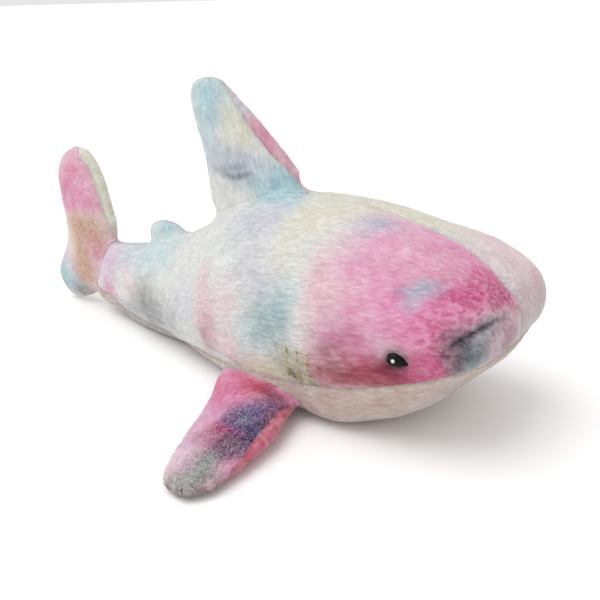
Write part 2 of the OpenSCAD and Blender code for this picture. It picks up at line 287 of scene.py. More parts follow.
# The whole stuffed shape: every CAD panel and filling, and a bridge over the room left for the tail's swing.
def bridge():
    """A closed tube from trunk to tail, whose rings run smoothly between what rays meet on the CAD skin."""
    samples = {}
    for group, xs in (
        (["right_trunk_panel", "left_trunk_panel", "belly_panel"], [FRONT + STEP, FRONT]),
        (["right_tail_panel", "left_tail_panel", "tail_belly_panel"], [BACK, BACK - STEP]),
    ):
        tree = tree_of(group)
        for x in xs:
            radii = []
            for k in range(BRIDGE_SIDES):
                a = 2 * math.pi * (k + 0.5) / BRIDGE_SIDES
                out = Vector((0, math.sin(a), math.cos(a)))
                middle = Vector((x, 0, AXIS_HEIGHT))
                hit = tree.ray_cast(middle + out * FAR, -out)[0]
                radii.append((hit - middle).length)
            r = np.array(radii)
            r = np.maximum(r, (np.roll(r, 1) + np.roll(r, -1)) / 2)
            samples[x] = r
    a0, a1 = samples[FRONT + STEP], samples[FRONT]
    b0, b1 = samples[BACK], samples[BACK - STEP]
    length = FRONT - BACK
    slope_a, slope_b = (a1 - a0) / STEP * length, (b1 - b0) / STEP * length
    vertices = []
    angles = 2 * math.pi * (np.arange(BRIDGE_SIDES) + 0.5) / BRIDGE_SIDES
    for k in range(BRIDGE_RINGS):
        t = k / (BRIDGE_RINGS - 1)
        r = (
            a1 * (2 * t**3 - 3 * t**2 + 1)
            + slope_a * (t**3 - 2 * t**2 + t)
            + b0 * (3 * t**2 - 2 * t**3)
            + slope_b * (t**3 - t**2)
        )
        x = FRONT - length * t
        vertices += [(x, q * math.sin(a), AXIS_HEIGHT + q * math.cos(a)) for q, a in zip(r, angles)]
    faces = ring_faces(0, BRIDGE_RINGS, BRIDGE_SIDES)
    faces.append(tuple(range(BRIDGE_SIDES)))
    faces.append(tuple(range(len(vertices) - BRIDGE_SIDES, len(vertices)))[::-1])
    return vertices, faces


def remeshed(name, parts, voxel, rounds):
    """One voxel mesh round several meshes, and its points after those rounds of smoothing."""
    ob = new_object(name, *merged(parts))
    remesh = ob.modifiers.new("remesh", "REMESH")
    remesh.mode = "VOXEL"
    remesh.voxel_size = voxel
    evaluated(ob)
    largest_part(ob)
    return ob, neighbour_mean(ob.data, coords(ob.data), rounds, 0.5)


def whole_shape():
    """One mesh round all of the panels and fillings, with rounded fin roots."""
    stuffed = [n for n in nodes if n.endswith("_panel") or n.endswith("_stuffing")]
    ob, co = remeshed("whole_skin", [*map(cad_mesh, stuffed), bridge()], VOXEL, 6)
    near = distances(co)
    side = near[:, [NAMES.index("right_side"), NAMES.index("left_side")]].min(1)
    for fins, reach in FILLETS:
        fin = near[:, [NAMES.index(n) for n in fins]].min(1)
        root = smooth((reach - np.maximum(fin, side)) / reach * 1.6)[:, None]
        for _ in range(FILLET_ROUNDS):
            co += (neighbour_mean(ob.data, co, 2, 0.5) - co) * root
    set_coords(ob.data, co)
    return ob


def distances(co):
    """For each point, how far each panel's CAD nodes are."""
    found = []
    for name in NAMES:
        tree = tree_of(SKIN[name][0])
        found.append([tree.find_nearest(Vector(p))[3] for p in co])
    return np.array(found).T


def seam_distance(near):
    """How far the nearest sewn seam is along the cloth, from the distances to the two nearest cuts."""
    by_cut = [near[:, [i for i, n in enumerate(NAMES) if SKIN[n][1] == cut]].min(1) for cut in CUTS]
    first, second = np.sort(np.stack(by_cut, 1), 1)[:, :2].T
    return np.sqrt(np.abs(second**2 - first**2))


CLOTH_FRAMES, CLOTH_SLACK = 20, 0.001


def puffed(ob, pinned):
    """Cloth swollen by its filling: a pressure simulation of a slightly smaller shape, held at the seams."""
    rest = coords(ob.data)
    set_coords(ob.data, rest - normals(ob.data) * CLOTH_SLACK)
    start = coords(ob.data)
    pins = ob.vertex_groups.new(name="pins")
    pins.add([int(i) for i in np.nonzero(pinned)[0]], 1.0, "REPLACE")
    cloth = ob.modifiers.new("cloth", "CLOTH")
    settings = cloth.settings
    settings.quality = 4
    settings.mass = 0.1
    settings.tension_stiffness = settings.compression_stiffness = settings.shear_stiffness = 5
    settings.bending_stiffness = 0.6
    settings.use_pressure = True
    settings.uniform_pressure_force = 60
    settings.effector_weights.gravity = 0
    settings.vertex_group_mass = "pins"
    cloth.point_cache.frame_start, cloth.point_cache.frame_end = 1, CLOTH_FRAMES
    for f in range(1, CLOTH_FRAMES + 1):
        scene.frame_set(f)
    moved = coords(ob.evaluated_get(bpy.context.evaluated_depsgraph_get()).data)
    ob.modifiers.clear()
    ob.vertex_groups.clear()
    scene.frame_set(1)
    step = moved - start
    length = norm(step, axis=1, keepdims=True)
    step *= np.minimum(1, PUFF_CAP / np.maximum(length, 1e-9))
    set_coords(ob.data, start + neighbour_mean(ob.data, step, 3, 0.5))


# Dye and painted shade, as sRGB values from 0 to 255.
def rgb(r, g, b):
    c = np.array([r, g, b]) / 255
    return np.where(c <= 0.04045, c / 12.92, ((c + 0.055) / 1.055) ** 2.4)


AQUA = rgb(178, 214, 224)
PALE_AQUA = rgb(205, 226, 229)
TEAL = rgb(140, 178, 184)
LAVENDER = rgb(206, 202, 224)
GREY_BLUE = rgb(176, 188, 208)
SLATE = rgb(112, 120, 132)
CREAM = rgb(236, 230, 212)
YELLOW = rgb(236, 230, 204)
WHITE = rgb(232, 233, 230)
BLUSH = rgb(242, 214, 218)
PINK = rgb(240, 168, 202)
ROSE = rgb(232, 146, 184)
HOT = rgb(220, 104, 154)
MAGENTA = rgb(196, 70, 130)
RED = rgb(204, 92, 122)
CRIMSON = rgb(206, 66, 98)
WINE = rgb(140, 50, 66)
PALE_GREY = rgb(168, 172, 176)
MAUVE = rgb(196, 140, 164)
OCHRE = rgb(212, 170, 142)
OLIVE = rgb(172, 164, 120)
BROWN = rgb(128, 104, 72)
PURPLE = rgb(98, 70, 132)
NAVY = rgb(58, 52, 100)
GREY_GREEN = rgb(140, 150, 142)
LILAC = rgb(226, 198, 222)
# White belly cloth darkened by painted shade, since the belly faces away from the light.
WHITE_IN_PAINTED_SHADE = rgb(212, 192, 184)
SALMON = rgb(214, 128, 146)
PALE_GREEN = rgb(232, 230, 214)
PLUM = rgb(92, 44, 74)
DUSK = rgb(122, 76, 88)
GREY = rgb(148, 148, 144)

# The ground colour of each cut of cloth, and the soft patches laid over it in the rest position:
# x, y, z, reach in x, y and z, all in millimetres, then colour and strength.
GROUND = {
    "right": WHITE,
    "left": WHITE,
    # The belly's ground is white cloth in painted shade.
    "belly": WHITE_IN_PAINTED_SHADE,
    "tail_right": BLUSH,
    "tail_left": PALE_GREEN,
    "right_upper": PINK,
    "right_lower": SALMON,
    "left_upper": LILAC,
    "left_lower": PINK,
}
PATCHES = {}
PATCHES["right"] = [
    (-145, -25, 120, 50, 60, 40, PALE_AQUA, 0.8), (-90, -40, 140, 40, 40, 30, PALE_AQUA, 0.8),
    (-190, -20, 110, 35, 40, 30, LAVENDER, 0.5), (-236, -20, 85, 34, 40, 36, LILAC, 0.9),
    (-240, -25, 50, 30, 30, 22, ROSE, 0.6), (-165, -45, 70, 40, 30, 30, BLUSH, 0.5),
    (-115, -12, 175, 30, 20, 26, AQUA, 0.9), (-20, -60, 150, 50, 40, 40, WHITE, 0.6),
    (-15, -80, 100, 30, 40, 40, LAVENDER, 0.3), (30, -92, 92, 30, 40, 56, RED, 0.3),
    (26, -92, 110, 26, 40, 50, BLUSH, 0.8), (90, -56, 214, 52, 34, 26, LAVENDER, 0.6),
    (50, -70, 196, 30, 30, 22, GREY_BLUE, 0.25), (92, -24, 240, 42, 24, 26, AQUA, 0.75),
    (126, -46, 236, 24, 22, 14, AQUA, 0.5), (190, -26, 240, 64, 26, 18, CREAM, 0.9),
    (160, -60, 230, 34, 30, 22, CREAM, 0.8), (146, -85, 200, 30, 30, 34, CREAM, 0.5),
    (110, -95, 170, 40, 30, 36, LAVENDER, 0.45), (74, -98, 130, 26, 30, 36, BLUSH, 0.6),
    (145, -110, 122, 36, 30, 40, TEAL, 0.75), (160, -108, 150, 26, 24, 26, AQUA, 0.35),
    (110, -108, 94, 26, 24, 26, AQUA, 0.45), (72, -104, 62, 24, 24, 26, BLUSH, 0.9),
    (136, -113, 54, 40, 24, 20, YELLOW, 0.9), (32, -95, 74, 26, 30, 34, MAUVE, 0.6),
    # Painted shade: these greys darken the tail's lower side, where it turns down away from the light.
    (-122, -54, 46, 60, 34, 30, PALE_GREY, 0.75), (-180, -38, 34, 50, 30, 22, PALE_GREY, 0.45),
    (-118, -54, 66, 46, 30, 34, GREY, 0.65), (-58, -66, 70, 36, 30, 30, PALE_GREY, 0.5),
    (186, -118, 74, 34, 24, 30, OLIVE, 0.7), (178, -120, 66, 9, 20, 8, BROWN, 0.9),
    (198, -120, 62, 7, 20, 7, BROWN, 0.7), (210, -118, 94, 16, 20, 26, RED, 0.45),
    (205, -112, 140, 22, 24, 40, BLUSH, 0.5), (208, -95, 190, 24, 40, 40, BLUSH, 0.8),
    (292, -50, 208, 84, 80, 48, PINK, 1.0), (262, -100, 165, 62, 46, 50, PINK, 1.0),
    (322, -96, 165, 62, 46, 44, PINK, 1.0), (345, -20, 205, 60, 50, 40, PINK, 1.0),
    (352, -60, 192, 56, 66, 44, ROSE, 0.9), (330, -100, 150, 44, 40, 26, ROSE, 0.7),
    (352, -98, 148, 26, 30, 20, HOT, 0.6), (374, -44, 184, 38, 54, 34, HOT, 0.95),
    (356, -66, 190, 22, 34, 22, HOT, 0.6), (390, -14, 165, 16, 30, 22, HOT, 0.8),
    (386, -24, 168, 20, 26, 20, MAGENTA, 0.45), (240, -44, 232, 32, 22, 13, GREY_BLUE, 0.6),
    (322, -86, 190, 24, 18, 13, GREY_BLUE, 0.9), (316, -100, 176, 14, 18, 9, AQUA, 0.4),
    (255, -116, 120, 48, 24, 26, ROSE, 0.9), (262, -116, 112, 60, 24, 26, MAUVE, 0.45),
    (288, -116, 92, 72, 24, 24, RED, 1.0), (240, -118, 74, 40, 24, 18, RED, 0.75),
    # Partly dye and partly painted shade: the wine patches deepen the lower cheek, which faces away from the
    # light.
    (300, -116, 104, 22, 24, 16, WINE, 0.55), (276, -118, 84, 56, 24, 14, WINE, 0.45),
    (320, -114, 106, 56, 24, 13, WINE, 0.65), (350, -108, 122, 30, 24, 16, RED, 0.6),
    (230, -119, 78, 40, 24, 14, WINE, 0.35), (235, -118, 100, 26, 24, 20, WINE, 0.3),
    (336, -112, 112, 30, 24, 16, WINE, 0.35), (222, -104, 168, 24, 30, 26, BLUSH, 0.6),
    (256, -104, 172, 24, 30, 26, BLUSH, 0.3), (300, -60, 212, 40, 40, 26, BLUSH, 0.35),
    (344, -108, 112, 34, 30, 22, HOT, 0.9), (376, -94, 134, 24, 30, 25, SLATE, 1.0),
    (363, -104, 128, 14, 20, 22, DUSK, 0.6), (390, -72, 146, 15, 24, 16, PALE_GREY, 0.7),
    (380, -92, 112, 18, 24, 12, PALE_GREY, 0.8), (396, -44, 132, 14, 36, 26, MAUVE, 1.0),
    (-15, -12, 352, 56, 20, 40, AQUA, 0.8), (-26, -12, 306, 24, 20, 30, AQUA, 0.55),
    (30, -10, 322, 28, 20, 42, CREAM, 0.8), (20, -14, 274, 76, 20, 28, GREY_BLUE, 0.7),
    (12, -14, 262, 30, 20, 6, SLATE, 0.25), (84, -12, 254, 32, 20, 26, AQUA, 0.75),
    (24, -14, 232, 34, 20, 16, WHITE, 0.8),
]
PATCHES["left"] = [
    (-145, 25, 120, 60, 60, 50, PALE_AQUA, 0.8), (-100, 45, 100, 44, 50, 50, BLUSH, 0.9),
    (-200, 25, 60, 50, 50, 36, LILAC, 0.8), (-205, 20, 110, 40, 40, 30, AQUA, 0.6),
    (-250, 20, 80, 30, 40, 50, PINK, 0.6), (-40, 60, 160, 56, 60, 50, LAVENDER, 0.5),
    (-30, 75, 80, 60, 50, 44, PALE_AQUA, 0.8), (40, 80, 180, 50, 60, 50, BLUSH, 0.9),
    (30, 90, 110, 40, 50, 60, PINK, 0.5), (100, 95, 190, 44, 50, 60, PALE_AQUA, 0.9),
    (96, 105, 120, 34, 40, 60, TEAL, 0.45), (90, 106, 60, 50, 40, 34, CREAM, 0.9),
    (165, 100, 190, 40, 50, 60, LAVENDER, 0.6), (160, 112, 110, 44, 40, 60, BLUSH, 0.9),
    (186, 118, 74, 34, 24, 30, OLIVE, 0.5), (90, 30, 236, 50, 40, 30, AQUA, 0.5),
    (150, 30, 240, 50, 40, 24, CREAM, 0.9), (250, 108, 170, 60, 50, 60, PINK, 0.8),
    (320, 104, 130, 70, 50, 60, ROSE, 0.7), (270, 116, 90, 70, 30, 30, RED, 0.45),
    (340, 60, 196, 70, 60, 44, BLUSH, 1.0), (300, 96, 190, 30, 30, 24, GREY_BLUE, 0.6),
    (250, 24, 236, 120, 50, 26, CREAM, 1.0), (372, 50, 172, 46, 54, 44, BLUSH, 0.9),
    (396, 30, 146, 18, 54, 34, MAUVE, 0.5), (372, 90, 120, 24, 30, 26, PALE_GREY, 0.6),
    (72, 10, 292, 34, 20, 34, HOT, 0.8), (42, 8, 324, 26, 20, 24, HOT, 0.7),
    (24, 8, 346, 22, 20, 18, LAVENDER, 0.8), (98, 10, 262, 26, 24, 20, ROSE, 1.0),
    (10, 14, 270, 44, 20, 40, PINK, 0.7), (-20, 10, 310, 34, 20, 44, LAVENDER, 0.8),
    (-14, 10, 356, 40, 20, 24, BLUSH, 0.9), (-125, 12, 165, 36, 20, 26, PINK, 0.6),
]
PATCHES["belly"] = [
    # Painted shade: the pale grey under the tail.
    (60, -60, 0, 90, 60, 30, WHITE, 0.6), (-110, 0, 20, 150, 90, 60, PALE_GREY, 0.7),
    (180, 60, 0, 90, 60, 30, WHITE, 0.5),
]
PATCHES["tail_right"] = [
    (-320, -8, 262, 50, 20, 22, LILAC, 0.95), (-300, -8, 226, 40, 20, 30, ROSE, 0.7),
    (-330, -10, 196, 34, 20, 34, HOT, 0.8), (-285, -10, 205, 26, 20, 30, PINK, 0.8),
    (-300, -12, 172, 50, 20, 18, ROSE, 0.8), (-300, -12, 138, 56, 20, 22, OCHRE, 0.95),
    (-318, -12, 96, 26, 20, 40, OCHRE, 0.9), (-345, -10, 120, 24, 20, 30, CREAM, 0.6),
    (-280, -12, 108, 22, 20, 22, ROSE, 0.8), (-368, -10, 44, 44, 20, 44, AQUA, 0.95),
    # Painted shade: the grey-green at the tail fin's foot darkens its lower lobe.
    (-322, -10, 26, 28, 20, 24, GREY_GREEN, 0.8), (-390, -8, 24, 24, 20, 24, TEAL, 0.5),
    (-312, -12, 66, 24, 20, 26, OCHRE, 0.8), (-290, -12, 118, 40, 20, 26, OCHRE, 0.6),
    (-276, -8, 216, 26, 20, 22, BLUSH, 0.4),
]
PATCHES["tail_left"] = [
    (-270, 8, 140, 30, 20, 30, CREAM, 0.8), (-330, 8, 240, 40, 20, 40, BLUSH, 0.7),
    (-330, 8, 110, 40, 20, 40, LAVENDER, 0.8), (-360, 8, 50, 40, 20, 30, AQUA, 0.8),
]
PATCHES["right_upper"] = [
    (124, -140, 35, 60, 22, 40, CRIMSON, 0.95), (84, -140, 35, 30, 26, 40, HOT, 0.7),
    (150, -126, 32, 20, 14, 30, MAGENTA, 0.4), (100, -160, 30, 30, 40, 30, ROSE, 0.8),
    (124, -176, 30, 26, 26, 30, HOT, 0.5), (168, -142, 32, 30, 20, 40, WINE, 0.85),
    (170, -186, 30, 30, 50, 30, PURPLE, 1.0), (174, -206, 28, 20, 44, 30, NAVY, 0.9),
    (152, -230, 26, 26, 32, 30, MAGENTA, 1.0), (176, -238, 26, 16, 24, 30, PURPLE, 0.7),
    (110, -222, 22, 24, 40, 30, LILAC, 0.9), (136, -256, 22, 24, 26, 30, LILAC, 0.8),
    (132, -292, 18, 22, 30, 30, BLUSH, 0.8), (176, -274, 20, 26, 34, 30, GREY_GREEN, 1.0),
    (162, -304, 14, 34, 24, 30, GREY_GREEN, 0.85), (150, -190, 28, 24, 24, 30, PURPLE, 0.5),
    (150, -226, 26, 24, 22, 30, WINE, 0.45), (180, -228, 24, 22, 22, 30, PLUM, 0.9),
    (160, -190, 28, 22, 24, 30, NAVY, 0.5), (186, -160, 30, 20, 30, 30, WINE, 0.5),
    (118, -200, 24, 20, 40, 30, ROSE, 0.5),
]
PATCHES["right_lower"] = [
    (180, -180, 10, 40, 70, 30, SALMON, 0.8), (170, -290, 10, 50, 50, 30, GREY_GREEN, 0.8),
    (110, -180, 10, 30, 50, 30, BLUSH, 0.8),
]
PATCHES["left_upper"] = [
    (130, 140, 34, 50, 20, 30, PINK, 0.9), (170, 190, 28, 26, 40, 30, AQUA, 0.9),
    (110, 190, 26, 26, 40, 30, BLUSH, 0.8), (150, 240, 24, 30, 26, 30, ROSE, 0.8),
    (150, 290, 16, 40, 30, 30, GREY_BLUE, 0.8),
]
PATCHES["left_lower"] = [
    (150, 170, 10, 50, 50, 30, BLUSH, 0.8), (150, 260, 10, 40, 50, 30, LAVENDER, 0.8),
]


# Where a patch ends and how far it fades, in reaches; its cover; the share of white; and the depth of it all.
PATCH_EDGE, PATCH_FADE, PATCH_COVER = 1.45, 1.2, 0.92
UNDYED, DYE_DEPTH = 0.14, 0.86


def dye_and_painted_shade(co, cut):
    """Colours of one cut of cloth at those rest positions, dye and painted shade together; the patches'
    outlines are bled by noise.
    """
    p = co * 1000
    p = p + noise3(co, 0.05, 11) * 10 + noise3(co, 0.02, 21) * 4 + noise3(co, 0.006, 31) * 2.5
    colour = np.repeat(GROUND[cut][None, :], len(co), 0)
    for x, y, z, reach_x, reach_y, reach_z, tint, strength in PATCHES[cut]:
        d = norm((p - (x, y, z)) / (reach_x, reach_y, reach_z), axis=1)
        w = smooth((PATCH_EDGE - d) / PATCH_FADE)[:, None] * strength * PATCH_COVER
        colour = colour * (1 - w) + tint * w
    undyed = smooth(0.2 + noise(co, 0.016, 36) * 0.8)[:, None] * UNDYED
    return (colour * (1 - undyed) + WHITE * undyed) * DYE_DEPTH


# Pile. A tuft is a cell with a domed top, drawn out along the way that the pile is combed. The two numbers
# shorten that way, on the body and on the long fins.
COMB = {
    "dorsal": (-0.37, 0, 0.93),
    "tail_fin": (-0.8, 0, 0.6),
    "pectoral": (0.1, 0.99, 0),
}
STRETCH, FIN_STRETCH = 0.32, 0.7


def combed(co, name):
    """Rest positions with the combed way first and shortened, so that noise on them runs along the pile."""
    way = next((Vector(v) for k, v in COMB.items() if k in name), Vector((1, 0, 0.12)))
    if name.startswith("left") and "pectoral" in name:
        way.y = -way.y
    way.normalize()
    side = way.cross(Vector((0, 0, 1))).normalized()
    up = side.cross(way)
    stretch = FIN_STRETCH if "pectoral" in name or "tail_fin" in name else STRETCH
    return np.stack([co @ np.array(way) * stretch, co @ np.array(side), co @ np.array(up)], 1)


def pile(co, grain):
    """Height of the pile, from 0 in a gap to 1 at a tip. Shaggy pile has curled locks in place of tufts."""
    warped = grain + noise3(co, 0.009, 41) * 0.0016
    tufts = 1 - np.clip(cells(warped, 0.0046, 51), 0, 1)
    fine = 0.5 + 0.5 * noise(warped, 0.0022, 61)
    lumps = 0.5 + 0.5 * noise(co, 0.012, 71)
    height = 0.45 * tufts + 0.2 * fine + 0.35 * lumps
    curled = grain + noise3(co, 0.009, 91) * 0.0034
    locks = smooth(0.5 + noise(curled, 0.0032, 95) * 0.7)
    locks = 0.5 * locks + 0.3 * (0.5 + 0.5 * noise(curled, 0.006, 97)) + 0.2 * lumps
    w = shag(co)[0]
    return height * (1 - w) + locks * w


# Shaggier cloth: centre and reach in millimetres, how shaggy it is and how pale its tips are.
SHAGGY = [
    ([376, -50, 176], [44, 70, 44], 1.0, 0.22),
    ([352, -100, 146], [34, 30, 46], 0.8, 0.20),
    ([168, -200, 28], [38, 70, 30], 0.7, 0.75),
    ([160, -290, 18], [50, 50, 30], 0.7, 0.60),
    ([-300, -12, 160], [50, 20, 70], 0.4, 0.30),
    ([190, -118, 78], [36, 24, 40], 0.4, 0.55),
]


def shag(co):
    """How shaggy the pile is there, and how pale its tips are."""
    shaggy, pale = np.zeros(len(co)), np.zeros(len(co))
    for centre, reach, amount, tips in SHAGGY:
        w = smooth((1.4 - norm((co * 1000 - centre) / np.array(reach), axis=1)) / 0.8)
        shaggy, pale = np.maximum(shaggy, w * amount), np.maximum(pale, w * tips)
    return shaggy, pale


# Creases and folds: a line of points in millimetres, its depth, its half width and the strength of the painted
# shade inside it.
CREASES = [
    ([[396, -36, 157], [391, -56, 160], [382, -80, 157], [370, -96, 149]], 6.5, 3.6, 0.62),
    ([[370, -96, 149], [364, -102, 143]], 2.5, 3.2, 0.35),
    ([[376, -84, 166], [364, -98, 160], [352, -106, 150]], 2.5, 4.0, 0.1),
    ([[190, -119, 40], [240, -121, 50], [290, -119, 62], [330, -112, 76]], 1.6, 5.0, 0),
    ([[190, 119, 40], [240, 121, 50], [290, 119, 62], [330, 112, 76]], 1.6, 5.0, 0),
    ([[4, -18, 256], [26, -20, 257], [48, -18, 263]], 3.5, 4.0, 0.3),
    ([[20, -18, 268], [44, -18, 272]], 2.0, 4.0, 0.15),
    ([[-118, -56, 60], [-124, -54, 84], [-120, -46, 108]], 1.8, 6.0, 0),
]


# Where the filling pushes the cloth out, or the cloth draws in: centre, reach, push in millimetres.
SHAPING = [
    ([362, 62, 186], [70, 50, 60], 8.0),
    ([376, 66, 140], [40, 44, 44], 7.0),
    ([-129, 0, 168], [40, 30, 20], -2.6),
    ([-376, 0, 40], [40, 30, 50], -2.0),
    ([-40, -50, 8], [60, 40, 26], -3.0),
    ([-30, 0, 290], [24, 30, 44], -2.4),
    ([150, 0, 250], [60, 60, 16], -2.4),
    ([362, -62, 186], [60, 40, 40], 3.0),
    ([368, -70, 78], [56, 60, 40], -8.0),
    ([368, 70, 78], [56, 60, 40], -8.0),
    ([215, -100, 22], [50, 30, 26], 7.0),
    ([215, 100, 22], [50, 30, 26], 7.0),
    ([-70, -50, 8], [60, 40, 30], -4.0),
    ([-70, 50, 8], [60, 40, 30], -4.0),
]


def line_distance(p, points):
    """Distance from each point to a line through those points."""
    best = np.full(len(p), 1e9)
    for a, b in zip(points[:-1], points[1:]):
        a, b = np.array(a, float), np.array(b, float)
        t = np.clip((p - a) @ (b - a) / ((b - a) @ (b - a)), 0, 1)
        best = np.minimum(best, norm(p - a - t[:, None] * (b - a), axis=1))
    return best


# Materials.
def material(name):
    m = bpy.data.materials.new(name)
    m.use_nodes = True
    tree = m.node_tree
    return m, tree, tree.nodes["Principled BSDF"]


def fed(tree, n, inputs):
    """A node, or a new one of that kind, with its inputs set to numbers or linked to outputs."""
    if isinstance(n, str):
        n = tree.nodes.new("ShaderNode" + n)
    for key, value in inputs.items():
        if isinstance(value, bpy.types.NodeSocket):
            tree.links.new(value, n.inputs[key])
        else:
            n.inputs[key].default_value = value
    return n


def attribute(tree, name):
    n = tree.nodes.new("ShaderNodeAttribute")
    n.attribute_name = name
    return n


def noise_node(tree, vector, scale, detail=2.0, rough=0.5):
    inputs = {"Vector": vector, "Scale": scale, "Detail": detail, "Roughness": rough}
    return fed(tree, "TexNoise", inputs).outputs["Fac"]


def ranged(tree, value, low, high, from_low=0.0, from_high=1.0):
    limits = {"From Min": from_low, "From Max": from_high, "To Min": low, "To Max": high, "Value": value}
    return fed(tree, "MapRange", limits).outputs["Result"]


def computed(tree, operation, *values):
    n = tree.nodes.new("ShaderNodeMath")
    n.operation = operation
    return fed(tree, n, dict(enumerate(values))).outputs["Value"]


def mixed(tree, blend, factor, a, b):
    n = tree.nodes.new("ShaderNodeMix")
    n.data_type, n.blend_type = "RGBA", blend
    return fed(tree, n, {"Factor": factor, 6: a, 7: b}).outputs[2]


def deepened(tree, colour, gamma):
    return fed(tree, "Gamma", {"Color": colour, "Gamma": gamma}).outputs["Color"]


def ramped(tree, value, low, high):
    n = fed(tree, "ValToRGB", {"Fac": value})
    n.color_ramp.elements[0].color = (*low, 1)
    n.color_ramp.elements[1].color = (*high, 1)
    return n.outputs["Color"]


def bumped(tree, shader, height, strength, distance):
    inputs = {"Strength": strength, "Distance": distance, "Height": height}
    bump = fed(tree, "Bump", inputs)
    tree.links.new(bump.outputs["Normal"], shader.inputs["Normal"])


def plush(name):
    """Deep pile: its gaps are painted darker and deeper in colour as shade between the tufts, its tips are
    paler, and fine fibres run along it.
    """
    m, tree, shader = material(name)
    colour = attribute(tree, "dye_and_painted_shade").outputs["Color"]
    height = attribute(tree, "pile").outputs["Fac"]
    grain = attribute(tree, "grain").outputs["Vector"]
    fibre = noise_node(tree, grain, 1100, 3.0, 0.65)
    streak = noise_node(tree, grain, 420, 2.0, 0.6)
    speckle = ranged(tree, noise_node(tree, grain, 560, 2.0, 0.6), 0.0, 1.0, 0.46, 0.66)
    tips = computed(tree, "MULTIPLY", speckle, attribute(tree, "frost").outputs["Fac"])
    # Painted shade: the lower the pile, the darker and deeper its colour.
    deep = deepened(tree, colour, ranged(tree, height, 1.5, 0.85, 0.1, 0.75))
    frosted = mixed(tree, "MIX", tips, deep, deepened(tree, colour, 0.42))
    fine, coarse = ranged(tree, fibre, 0.9, 1.08, 0.25, 0.75), ranged(tree, streak, 0.88, 1.07, 0.3, 0.7)
    shaded = mixed(tree, "MULTIPLY", 1.0, frosted, computed(tree, "MULTIPLY", fine, coarse))
    fed(tree, shader, {"Base Color": shaded, "Roughness": ranged(tree, height, 1.0, 0.85)})
    fed(tree, shader, {"Specular IOR Level": 0.15, "Sheen Weight": 0.5, "Sheen Roughness": 0.4})
    bumped(tree, shader, computed(tree, "MULTIPLY_ADD", streak, 2.2, fibre), 0.7, 0.0012)
    return m


def fibre_filling():
    """Matted white fibre in clumps."""
    m, tree, shader = material("fibre_filling")
    where = attribute(tree, "grain").outputs["Vector"]
    clump = noise_node(tree, where, 90, 3.0, 0.7)
    thread = noise_node(tree, where, 700, 3.0, 0.7)
    colour = ramped(tree, clump, (0.62, 0.63, 0.62), (0.93, 0.93, 0.91))
    fed(tree, shader, {"Base Color": colour, "Roughness": 0.95, "Sheen Weight": 0.3})
    bumped(tree, shader, thread, 0.8, 0.002)
    return m


def object_position(tree):
    return tree.nodes.new("ShaderNodeTexCoord").outputs["Object"]


def eye_plastic(highlight_centres):
    """Polished black with a small painted highlight where the light's reflection shows; faint handling marks
    change its gloss.
    """
    m, tree, shader = material("eye_plastic")
    where = object_position(tree)
    haze = noise_node(tree, where, 240, 3.0, 0.6)
    fed(tree, shader, {"Roughness": ranged(tree, haze, 0.1, 0.2), "Specular IOR Level": 0.12})
    total = None
    for centre in highlight_centres:
        d = fed(tree, "VectorMath", {0: where, 1: centre})
        d.operation = "DISTANCE"
        # The painted highlight: a pale spot round each highlight centre.
        dot = ranged(tree, d.outputs["Value"], 1.0, 0.0, 0.0012, 0.0027)
        total = dot if total is None else computed(tree, "MAXIMUM", total, dot)
    colour = ramped(tree, total, (0.006, 0.005, 0.006), (0.75, 0.76, 0.78))
    tree.links.new(colour, shader.inputs["Base Color"])
    return m


def washer_plastic():
    """Pale milky plastic with a faint grain."""
    m, tree, shader = material("washer_plastic")
    where = object_position(tree)
    grainy = noise_node(tree, where, 900, 2.0, 0.5)
    cloud = noise_node(tree, where, 60, 2.0, 0.5)
    colour = ramped(tree, cloud, (0.66, 0.66, 0.65), (0.80, 0.80, 0.80))
    fed(tree, shader, {"Base Color": colour, "Roughness": ranged(tree, grainy, 0.4, 0.6)})
    bumped(tree, shader, grainy, 0.3, 0.0003)
    return m


def thread():
    """Twisted satin thread."""
    m, tree, shader = material("gill_thread")
    tint = attribute(tree, "dye_and_painted_shade").outputs["Color"]
    twist = noise_node(tree, object_position(tree), 1500, 2.0, 0.5)
    shaded = mixed(tree, "MULTIPLY", 1.0, tint, ranged(tree, twist, 0.75, 1.2))
    fed(tree, shader, {"Base Color": shaded, "Roughness": 0.5, "Sheen Weight": 0.2})
    bumped(tree, shader, twist, 0.4, 0.0003)
    return m


# The skin, cut into its panels.
def body_map(co):
    """Texture places of a body panel: along the body, turning in over the nose, and around it."""
    nose_x, nose_z, nose_r = 0.28, 0.12, 0.12
    z_axis = np.interp(co[:, 0], [-0.32, -0.05, 0.2, nose_x, 0.4], [0.065, 0.08, 0.11, nose_z, 0.135])
    r = np.hypot(co[:, 1], co[:, 2] - z_axis)
    turn = np.arctan2(np.maximum(co[:, 0] - nose_x, 0), r)
    u = np.where(co[:, 0] < nose_x, co[:, 0], nose_x + nose_r * turn)
    v = np.arctan2(co[:, 1], co[:, 2] - z_axis)
    return np.stack([u, v * 0.11], 1)


def texture_places(co, name):
    if name.endswith("side"):
        uv = body_map(co)
    elif name == "belly":
        flipped = co * np.array([1, 1, -1]) + np.array([0, 0, 0.24])
        uv = body_map(flipped)
    elif "pectoral" in name:
        uv = co[:, [0, 1]]
    else:
        uv = co[:, [0, 2]]
    low, high = uv.min(0), uv.max(0)
    return (uv - low) / (high - low).max() * 0.98 + 0.01


def put_attribute(mesh, name, kind, values):
    a = mesh.attributes.new(name, kind, "POINT")
    field = {"FLOAT": "value", "FLOAT_VECTOR": "vector", "FLOAT_COLOR": "color"}[kind]
    if kind == "FLOAT_COLOR":
        values = np.concatenate([values, np.ones((len(values), 1))], 1)
    a.data.foreach_set(field, values.astype(np.float32).ravel())


def smooth_shaded(mesh):
    mesh.polygons.foreach_set("use_smooth", [True] * len(mesh.polygons))
    mesh.update()


def edge_keys(ends, count):
    """One number for each edge of a mesh with that many points, whichever way round the edge runs."""
    low, high = np.sort(ends, 1).astype(np.int64).T
    return low * count + high


